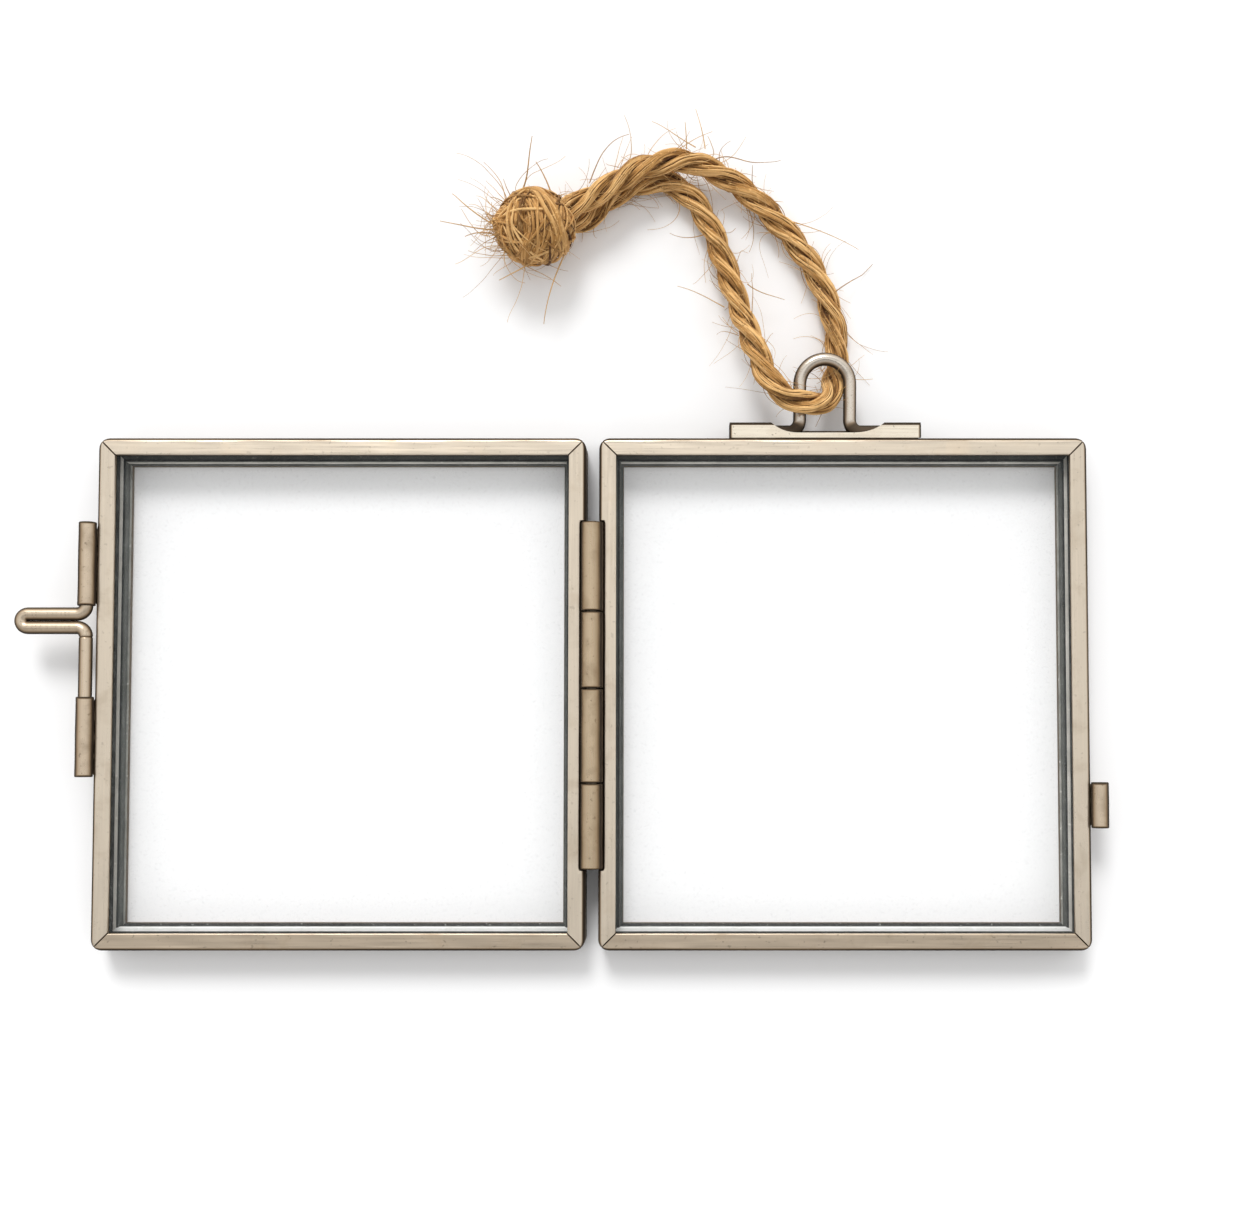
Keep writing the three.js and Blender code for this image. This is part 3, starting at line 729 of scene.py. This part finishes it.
def sleeve():
    lo, hi, base, top, wall, fold = -1.345, 1.345, 35.04, 37.22, 0.3, 0.5
    section = [(lo, base), (lo + wall, base), (lo + wall, top - wall - 0.2), (lo + wall + 0.2, top - wall),
               (hi - wall - 0.2, top - wall), (hi - wall, top - wall - 0.2), (hi - wall, base), (hi, base)]
    section += [(hi, y) for y in (35.5, 36.1)]
    section += arc(hi - fold, top - fold, fold, 0, 90, 14) + arc(lo + fold, top - fold, fold, 90, 180, 8)
    xs = [18.85, 18.98, 19.25] + list(np.linspace(20, 44, 25)) + [44.75, 45.02, 45.15]
    bar = prism("sleeve_bar", section, lambda z, y, x: (x, y, 3.9 + z), xs)
    cut = quad_curve((24.2, top + 0.4), (25.6, 35.74), (28.4, 35.74), 14)
    cut += quad_curve((35.8, 35.74), (39.0, 35.74), (40.6, top + 0.4), 14)
    knives = [prism("sleeve_scoop", cut, lambda x, y, z: (x, y, z), [2.85, 6.4]),
              prism("sleeve_notch", [(28.4, 36.4), (35.6, 36.4), (35.6, 40), (28.4, 40)],
                    lambda x, y, z: (x, y, z), [1.5, 3.6])]
    for knife in knives:
        mod = bar.modifiers.new("notch", "BOOLEAN")
        mod.operation, mod.object, mod.solver = "DIFFERENCE", knife, "EXACT"
    me = bpy.data.meshes.new_from_object(bar.evaluated_get(bpy.context.evaluated_depsgraph_get()))
    me.name = "hanger_sleeve_folded"
    for ob in (bar, *knives):
        bpy.data.objects.remove(ob)
    smooth(me, 40)
    # painted shade: dark at both ends, along the upper edge and on every face but the front one, inside the sleeve
    # included
    shade_and_tarnish = []
    for v in me.vertices:
        x, y, z = v.co.x * 1000 - OX, v.co.y * 1000 - OY, v.co.z * 1000 - 3.9
        g = 0.9 if x < 19.0 or x > 45.0 else 0.0
        g = max(g, 0.95 * min(max((y - 36.72) / 0.12, 0), 1))
        if z < hi - wall + 0.01:
            g = max(g, 0.75)
        shade_and_tarnish.append(g)
    set_shade_and_tarnish(me, shade_and_tarnish)
    me.materials.clear()
    ob = add_piece(me, "back", [M_SLEEVE], "hanger_sleeve")
    b = ob.modifiers.new("edge_break", "BEVEL")
    b.width, b.segments, b.limit_method, b.angle_limit = 0.00005, 2, "ANGLE", math.radians(50)
    return ob


sleeve()


def bead(name, body, a, b, r, seed, squash=1.0):
    """A run of solder: lumpy, thick in places and tapering out at both ends."""
    rg = np.random.default_rng(seed)
    path = resample(np.array([a, b], float), 0.14)
    s = arclen(path)
    end = np.clip(np.minimum(s, s[-1] - s) / min(0.9, s[-1] / 2), 0.0, 1)
    rad = r * (0.78 + 0.22 * wobble(s, rg, 2.6)) * np.sqrt(np.clip(end * (2 - end), 0.02, 1))
    path = path + 0.12 * r * np.stack([wobble(s, rg, 3.1), 0 * s, wobble(s, rg, 2.2)], 1)
    tan, nor, bi = frames(path)
    sides = 18
    ang = np.arange(sides) * TAU / sides
    lump_r = rad[:, None] * (1 + 0.08 * np.sin(3 * ang[None, :] + 2 * wobble(s, rg, 2.0)[:, None]))
    ring = path[:, None] + lump_r[..., None] * (squash * np.cos(ang)[None, :, None] * nor[:, None] + np.sin(ang)[None, :, None] * bi[:, None])
    n = len(path)
    faces = [(i * sides + j, i * sides + (j + 1) % sides, (i + 1) * sides + (j + 1) % sides, (i + 1) * sides + j)
             for i in range(n - 1) for j in range(sides)]
    faces += [tuple(range(sides)), tuple(range((n - 1) * sides, n * sides))]
    return add_piece(poly_mesh(name, ring.reshape(-1, 3), faces, None, 60), body, [M_SOLDER_SHADE])


bead("solder_guide_upper", "door", (-67.84, 23.1, 4.78), (-67.84, 12.0, 4.78), 0.4, 71)
bead("solder_guide_lower", "door", (-67.84, -0.8, 4.78), (-67.84, -11.3, 4.78), 0.4, 73)
bead("solder_keeper", "back", (67.84, -12.4, 4.78), (67.84, -18.2, 4.78), 0.38, 75)
for i in range(4):
    sgn = 1 if i % 2 == 0 else -1
    bead(f"solder_hinge_{i + 1}", "back" if sgn > 0 else "door", (sgn * 1.28, KNUCKLE_Y[i] - 0.7, 4.55),
         (sgn * 1.28, KNUCKLE_Y[i + 1] + 0.7, 4.55), 0.36, 80 + i)
bead("solder_sleeve_left", "back", (19.2, 35.04, 4.9), (26.5, 35.04, 4.9), 0.2, 91)
bead("solder_sleeve_right", "back", (37.5, 35.04, 4.9), (44.8, 35.04, 4.9), 0.2, 92)

# ---------------------------------------------------------------------- camera
cam_data = bpy.data.cameras.new("photo_camera")
cam = bpy.data.objects.new("photo_camera", cam_data)
bpy.context.scene.collection.objects.link(cam)
eye, aim = (Vector(p) for p in row([(11.5, -4.5, 220.5), (11.5, 5.6, 5.5)]))
zc = (eye - aim).normalized()
xc = Vector((0, 1, 0)).cross(zc).normalized()
yc = zc.cross(xc)
cam.matrix_world = Matrix.Translation(eye) @ Matrix((xc, yc, zc)).transposed().to_4x4()
cam_data.sensor_width = 36.0
cam_data.lens = 7.33 * (eye - aim).length * 1000 / 1254 * 36
cam_data.shift_x, cam_data.shift_y = -0.0393, 0.0286  # the framing sits left of and above the axis
cam_data.clip_start = 0.01
bpy.context.scene.camera = cam

# ------------------------------------------------------------------------ cord
rng = np.random.default_rng(7)


def strand_fibres(out, path, radius, fibres, turn, size, rng, tone0=0.5, normal=None, core=True, shade=None):
    """One strand: a dark core, which is painted shade between the fibres, wrapped in fibres that lie along it; when
    shade is given, fibres turned away from that angle are painted darker.
    """
    s = arclen(path)
    tan, nor, bi = frames(path, normal) if normal is None or np.ndim(normal) == 1 else normal
    fade = np.clip(np.minimum(s, s[-1] - s) / 0.5, 0.05, 1) ** 0.5
    if core:
        out.tube(path, radius * 0.86 * fade, 10, 0.1)
    for f in range(fibres):
        a = TAU * (f + rng.uniform(-0.3, 0.3)) / fibres + turn * s + 0.16 * wobble(s, rng, 9)
        rad = radius * (0.9 + 0.07 * wobble(s, rng, 5) + rng.uniform(-0.03, 0.05))
        p = path + rad[:, None] * (np.cos(a)[:, None] * nor + np.sin(a)[:, None] * bi)
        r = size * rng.uniform(0.7, 1.35) * (1 + 0.25 * wobble(s, rng, 3.5)) * fade
        tone = np.clip(tone0 + rng.normal(0, 0.27) + 0.16 * wobble(s, rng, 6), 0, 1)
        if shade is not None:
            tone = np.clip(tone + 0.32 * np.cos(a - shade) - 0.12, 0, 1)
        out.tube(p, r, 5, tone)


def three_strand(out, path, rng, strand=0.745, off=0.90, pitch=15.0, fibres=20, size=0.125, phase=0.0):
    s = arclen(path)
    tan, nor, bi = frames(path)
    # painted shade: a dark tube down the middle of the cord, seen between the strands
    out.tube(path, 0.55, 8, 0.05)
    for k in range(3):
        ph = phase + TAU * k / 3 - TAU * s / pitch
        rr = off + 0.03 * wobble(s, rng, 14)
        ph = ph + 0.10 * wobble(s, rng, 17)
        er = np.cos(ph)[:, None] * nor + np.sin(ph)[:, None] * bi
        centre = path + rr[:, None] * er
        t2 = unit(np.gradient(centre, axis=0))
        e1 = unit(er - np.sum(er * t2, 1, keepdims=True) * t2)
        strand_fibres(out, centre, strand, fibres, TAU / 22.0, size, rng, 0.6,
                      (t2, e1, np.cross(t2, e1)), True, 0.0)


STEP = 0.3
line = catmull(CORD_ROUTE, STEP)
inside = [KNOT + np.array([3.2, 1.9, 0.5]), KNOT + np.array([3.2, 0.7, -2.0])]
line = catmull([inside[0], *CORD_ROUTE, inside[1]], STEP)
rope = Bundle()
three_strand(rope, line, rng)
cord_ob = add_piece(rope.mesh("jute_cord"), "soft", [M_JUTE], "cord")


def stray(out, base, along, away, length, rng, curl=1.0, thick=0.03):
    """One loose fibre that leaves the surface at a slant and curls."""
    n = max(8, min(int(length * 4), 26))
    step = length / (n - 1)
    d = unit(along + rng.uniform(0.25, 1.1) * away)
    bend = rng.normal(0, 0.26 * curl, 3)
    p = [np.array(base, float)]
    for _ in range(n - 1):
        p.append(p[-1] + step * d)
        bend = 0.97 * bend + rng.normal(0, 0.05 * curl, 3)
        d = unit(d + step * bend)
        if p[-1][2] < 0.4 and d[2] < 0:
            d[2] *= 0.2
        if p[-1][2] > 9.0 and d[2] > 0:
            d[2] *= 0.3
    p = np.array(p)
    p[:, 2] = np.clip(p[:, 2], 0.08, 15.0)
    if np.min(0.788 * (p[:, 1] - 35.98) - 0.616 * (p[:, 2] - 3.9)) < -0.7:
        return
    out.tube(p, thick * np.linspace(1, 0.45, n), 4, rng.uniform(0.2, 1.0))


fuzz = Bundle()
tan, nor, bi = frames(line)
for i in range(340):
    k = int(rng.integers(3, len(line) - 3))
    a = rng.uniform(0, TAU)
    away = math.cos(a) * nor[k] + math.sin(a) * bi[k]
    along = tan[k] * (1 if rng.random() < 0.5 else -1)
    size = min(float(rng.gamma(2.0, 1.5)) + 1.0, 8.0)
    if i < 30:
        size = rng.uniform(4.5, 9.5)
    stray(fuzz, line[k] + away * 1.45, along, away, size, rng, 1.0, rng.uniform(0.03, 0.05) + 0.025 * (i < 30))
# the longest straws, where they stand off the cord
for at, to, size, curl in (((15.5, 75.4, 5.2), (-0.13, 0.99, 0.0), 6.3, 0.3), ((14.2, 75.6, 5.2), (-0.87, 0.5, 0.0), 7.2, 0.3),
                           ((12.9, 75.4, 5.0), (0.05, 1.0, 0.0), 4.4, 0.3), ((27.0, 66.2, 2.6), (0.96, -0.28, 0.0), 11.0, 0.2),
                           ((18.2, 53.6, 3.6), (-0.88, 0.47, 0.0), 7.2, 0.2), ((16.0, 64.4, 2.6), (-0.92, -0.39, 0.0), 6.0, 0.3),
                           ((-0.5, 70.4, 5.6), (0.3, 0.9, 0.0), 9.0, 0.8), ((17.0, 74.4, 4.0), (0.9, 0.35, 0.0), 10.0, 0.8),
                           ((33.6, 56.0, 2.4), (0.8, 0.6, 0.0), 8.0, 0.5), ((21.4, 57.0, 3.2), (0.7, -0.6, 0.0), 6.0, 0.7)):
    stray(fuzz, np.array(at), unit(np.array(to)), np.array([0.0, 0.0, 0.03]), size, rng, curl, 0.08)
fuzz_ob = add_piece(fuzz.mesh("jute_cord_fibres"), "soft", [M_FUZZ])

# ------------------------------------------------------------------------ knot
knot = Bundle()
POLE = unit(np.array([-0.90, -0.06, 0.42]))  # the knot's open end looks this way
SIDE = unit(np.cross(POLE, [0.0, 0.0, 1.0]))
OVER = np.cross(SIDE, POLE)
KNOT_R = 4.55
SWELL = np.array([1.07, 1.0, 1.0])


def ball(points):
    """Points about the knot's middle, given along (SIDE, OVER, POLE)."""
    q = np.asarray(points, float)
    return KNOT + SWELL * (q[:, :1] * SIDE + q[:, 1:2] * OVER + q[:, 2:] * POLE)


def lump(out, r, tone):
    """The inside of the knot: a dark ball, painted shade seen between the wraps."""
    a = np.linspace(0.03, math.pi - 0.03, 30)
    p = ball(np.stack([0 * a, 0 * a, -r * np.cos(a)], 1))
    out.tube(p, np.sin(a) * r * (1 + 0.04 * np.sin(5 * a)), 30, tone)


def wrap(out, off, width, tilt, a0, a1, rise, rng, fibres=30, thick=0.5, climb=0.0):
    """One flattened turn of cord laid on the ball."""
    n = 110
    a = np.radians(np.linspace(a0, a1, n))
    h = off + climb * np.linspace(-0.5, 0.5, n) + tilt[0] * np.cos(a) + tilt[1] * np.sin(a)
    h = np.clip(h, -KNOT_R * 0.93, KNOT_R * 0.93)
    r = np.sqrt(KNOT_R ** 2 - h ** 2) + rise
    path = ball(np.stack([r * np.cos(a), r * np.sin(a), h], 1))
    tan = unit(np.gradient(path, axis=0))
    out_dir = unit(path - KNOT)
    out_dir = unit(out_dir - np.sum(out_dir * tan, 1, keepdims=True) * tan)
    across = np.cross(tan, out_dir)
    s = arclen(path)
    fade = np.clip(np.minimum(s, s[-1] - s) / 1.2, 0.06, 1) ** 0.5
    sag = np.clip(fade, 0, 1) - 1
    for f in range(fibres):
        b = TAU * (f + rng.uniform(-0.35, 0.35)) / fibres + 0.05 * s + 0.22 * wobble(s, rng, 11)
        w = width * (0.9 + 0.1 * wobble(s, rng, 7)) * (0.35 + 0.65 * fade)
        t = thick * (0.9 + 0.14 * wobble(s, rng, 5))
        p = path + (w * np.sin(b))[:, None] * across + (t * np.cos(b) + 0.9 * sag)[:, None] * out_dir
        tone = np.clip(0.52 + rng.normal(0, 0.2) + 0.12 * wobble(s, rng, 6), 0, 1)
        out.tube(p, 0.17 * rng.uniform(0.7, 1.3) * fade, 5, tone)


lump(knot, KNOT_R * 0.93, 0.03)
for k in range(9):
    wrap(knot, -3.7 + 0.92 * k, 0.75, (rng.normal(0, 0.3), rng.normal(0, 0.3)), 40 * k, 40 * k + 356, -0.42, rng,
         fibres=20, thick=0.3)
for off, width, tilt, a0, a1, rise, climb in (
        (-3.6, 1.0, (0.5, -0.3), 0, 360, -0.05, 0.3),
        (-2.3, 1.05, (-0.7, 0.5), 40, 400, 0.05, -0.6),
        (-0.9, 1.1, (0.8, 0.4), -60, 300, 0.0, 0.7),
        (0.5, 1.0, (-0.7, -0.7), 100, 455, 0.05, -0.5),
        (1.9, 0.95, (0.6, -0.3), -20, 330, -0.05, 0.6),
        (3.0, 0.8, (-0.3, 0.4), 150, 480, -0.1, 0.5),
        (-1.6, 0.95, (2.3, 1.0), 10, 200, 0.42, 0.4),
        (-0.2, 0.8, (-1.9, 1.9), 120, 310, 0.40, 0.2),
        (-2.4, 0.85, (-1.4, 1.2), 200, 370, 0.38, 0.0),
        (0.9, 0.6, (1.5, -2.0), -40, 140, 0.45, 0.3)):
    wrap(knot, off, width, tilt, a0, a1, rise, rng, fibres=26, thick=0.42, climb=climb)

loose = np.random.default_rng(77)
for i in range(96):
    n = 22
    mid = unit(loose.normal(0, 1, 3))
    go = unit(np.cross(mid, unit(loose.normal(0, 1, 3) + np.array([0.0, 0.0, 1.2]))))
    t = loose.uniform(0.5, 1.3) * np.linspace(-1, 1, n)
    bow = loose.normal(0, 0.25) * np.sin(2.2 * t)
    d = unit(np.cos(t)[:, None] * mid + np.sin(t)[:, None] * go + bow[:, None] * np.cross(mid, go))
    lift = KNOT_R + 0.52 + 0.12 * np.cos(t * 1.4) + loose.uniform(-0.1, 0.12)
    arch = np.sin(np.linspace(0.08, math.pi - 0.08, n)) ** 0.5
    knot.tube(ball(d * (lift - 0.5 * (1 - arch))[:, None]), loose.uniform(0.10, 0.22) * arch, 5,
              float(np.clip(loose.normal(0.5, 0.3), 0, 1)))

# the open end: a nose of fibres wound round and round, with a few loops on it
for i in range(170):
    n = 30
    span = rng.uniform(1.6, 5.0)
    a = rng.uniform(0, TAU) + span * np.linspace(0, 1, n)
    t = np.linspace(0, 6, n)
    r0 = 2.7 * rng.uniform(0.02, 1.0) ** 0.6
    r = np.clip(r0 + 0.3 * wobble(t, rng, 6) + rng.normal(0, 0.25) * np.linspace(-1, 1, n), 0.2, None)
    lift = np.sqrt(np.clip(KNOT_R ** 2 - r ** 2, 1, None)) + 0.75 * np.exp(-(r / 1.7) ** 2) + rng.uniform(-0.25, 0.3)
    p = ball(np.stack([0.3 + r * np.cos(a), -0.4 + r * np.sin(a), lift], 1))
    knot.tube(p, rng.uniform(0.08, 0.16) * np.sin(np.linspace(0.25, 2.9, n)) ** 0.4, 5,
              float(np.clip(rng.normal(0.55, 0.22), 0, 1)))
knot_ob = add_piece(knot.mesh("jute_knot"), "soft", [M_JUTE], "cord_knot")

tuft = Bundle()
for i in range(46):
    d = unit(np.array([-1.0, rng.normal(0.0, 0.55), rng.normal(0.15, 0.3)]))
    base = KNOT + d * np.array([5.3, 4.7, 4.7])
    along = unit(np.array([-0.5, rng.normal(-0.1, 0.8), rng.normal(0, 0.25)]))
    stray(tuft, base, along, d, rng.uniform(2.0, 6.0), rng, 2.0, rng.uniform(0.04, 0.07))
for i in range(70):
    d = unit(rng.normal(0, 1, 3))
    base = KNOT + d * np.array([5.5, 4.9, 4.9])
    along = unit(np.cross(d, rng.normal(0, 1, 3)))
    stray(tuft, base, along, 0.5 * d, rng.uniform(1.5, 4.5), rng, 1.8, rng.uniform(0.03, 0.05))
for at, to, size in (((-1.6, 5.0, 1.2), (0.36, 0.93, 0.0), 9.2), ((-0.5, -5.0, 0.5), (-0.8, -0.6, 0.0), 5.4),
                     ((4.0, -4.1, 0.3), (-0.40, -0.92, 0.0), 9.8), ((2.2, 4.7, 0.5), (-0.35, 1.0, 0.1), 4.6),
                     ((-5.6, 0.2, 0.6), (-0.9, 0.44, 0.0), 9.2), ((-5.7, -0.4, 0.2), (-1.0, 0.03, 0.0), 7.7),
                     ((-5.4, -1.2, 0.4), (-0.8, 0.25, 0.0), 4.4)):
    stray(tuft, KNOT + np.array(at), unit(np.array(to)), np.array([0.0, 0.0, 0.05]), size, rng, 0.35, 0.11)
for i in range(30):
    d = unit(np.array([-0.7, loose.normal(0.0, 0.8), loose.normal(0.25, 0.4)]))
    along = unit(np.cross(d, loose.normal(0, 1, 3)))
    stray(tuft, KNOT + d * np.array([5.4, 4.8, 4.8]), along, 0.6 * d, loose.uniform(5.0, 11.0), loose, 1.5,
          loose.uniform(0.04, 0.07))
tuft_ob = add_piece(tuft.mesh("jute_knot_fibres"), "soft", [M_FUZZ])

row([inside[0]])[0].tolist()
row(line).tolist()

# ----------------------------------------------------------------------- stage
fm, nt, p = new_mat("studio_floor")
p.inputs["Roughness"].default_value = 0.9
p.inputs["Specular IOR Level"].default_value = 0.1
nt.links.new(mix(nt, (0.935, 0.935, 0.94), (0.95, 0.95, 0.95), noise(nt, 40.0, 2.0)), p.inputs["Base Color"])
fl = bpy.data.meshes.new("floor")
fl.from_pydata([(-3, -3, -0.00002), (3, -3, -0.00002), (3, 3, -0.00002), (-3, 3, -0.00002)], [], [(0, 1, 2, 3)])
fl.materials.append(fm)
floor = bpy.data.objects.new("floor", fl)
bpy.context.scene.collection.objects.link(floor)

world = bpy.data.worlds.new("studio")
bpy.context.scene.world = world
world.use_nodes = True
nt = world.node_tree
bg = nt.nodes["Background"]
tc = add(nt, "ShaderNodeTexCoord")
axes = add(nt, "ShaderNodeSeparateXYZ")
nt.links.new(tc.outputs["Generated"], axes.inputs[0])
half = add(nt, "ShaderNodeMath", operation="MULTIPLY_ADD")  # brighter towards +Y, darkest just below the camera
half.inputs[1].default_value, half.inputs[2].default_value = 0.5, 0.5
nt.links.new(axes.outputs["Y"], half.inputs[0])
sky = ramp(nt, [(0.0, 0.64), (0.25, 0.60), (0.335, 0.29), (0.385, 0.29), (0.44, 0.73), (0.49, 1.0), (0.55, 0.93), (0.64, 0.62), (0.68, 0.65), (0.80, 1.0), (1.0, 1.0)],
           half.outputs[0])
nt.links.new(sky, bg.inputs["Color"])
bg.inputs["Strength"].default_value = 1.22


key = bpy.data.lights.new("key", "SUN")
key.energy = 1.47
key.angle = math.radians(20)
key_ob = bpy.data.objects.new("key", key)
bpy.context.scene.collection.objects.link(key_ob)
key_ob.rotation_euler = Vector((0.12, -0.60, -0.62)).to_track_quat("-Z", "Y").to_euler()
bpy.context.scene.view_settings.view_transform = "Standard"
